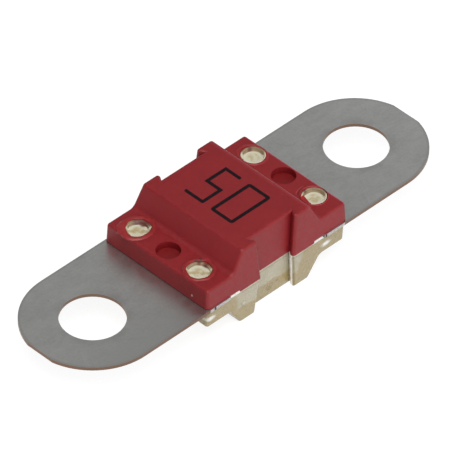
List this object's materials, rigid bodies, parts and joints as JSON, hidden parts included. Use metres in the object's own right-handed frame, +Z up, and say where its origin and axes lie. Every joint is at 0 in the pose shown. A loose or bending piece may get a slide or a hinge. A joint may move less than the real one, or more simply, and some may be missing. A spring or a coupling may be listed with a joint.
{
  "type": "midi fuse",
  "caption": "Bolt-down midi fuse: a flat metal strip with stud holes at its ends, held in a stepped red cover and an ivory base that are staked together.",
  "frame": {"origin": "midway between the two stud holes, on the underside of the fuse element, where its terminals seat", "axes": "+X along the fuse element from one stud hole to the other, +Y across it, +Z up out of the red cover, away from the seating face"},
  "size_m": [0.0416, 0.012, 0.0078],
  "materials": {
    "tinned_metal": "matte tin plating with copper-coloured cut edges",
    "tin": "dull tin",
    "red_plastic": "satin dark red moulding",
    "ivory_plastic": "satin ivory moulding"
  },
  "bodies": {
    "root": {"fuse_element": "tinned_metal", "tin_pellet": "tin", "cover": "red_plastic", "base": "ivory_plastic"}
  },
  "joints": []
}
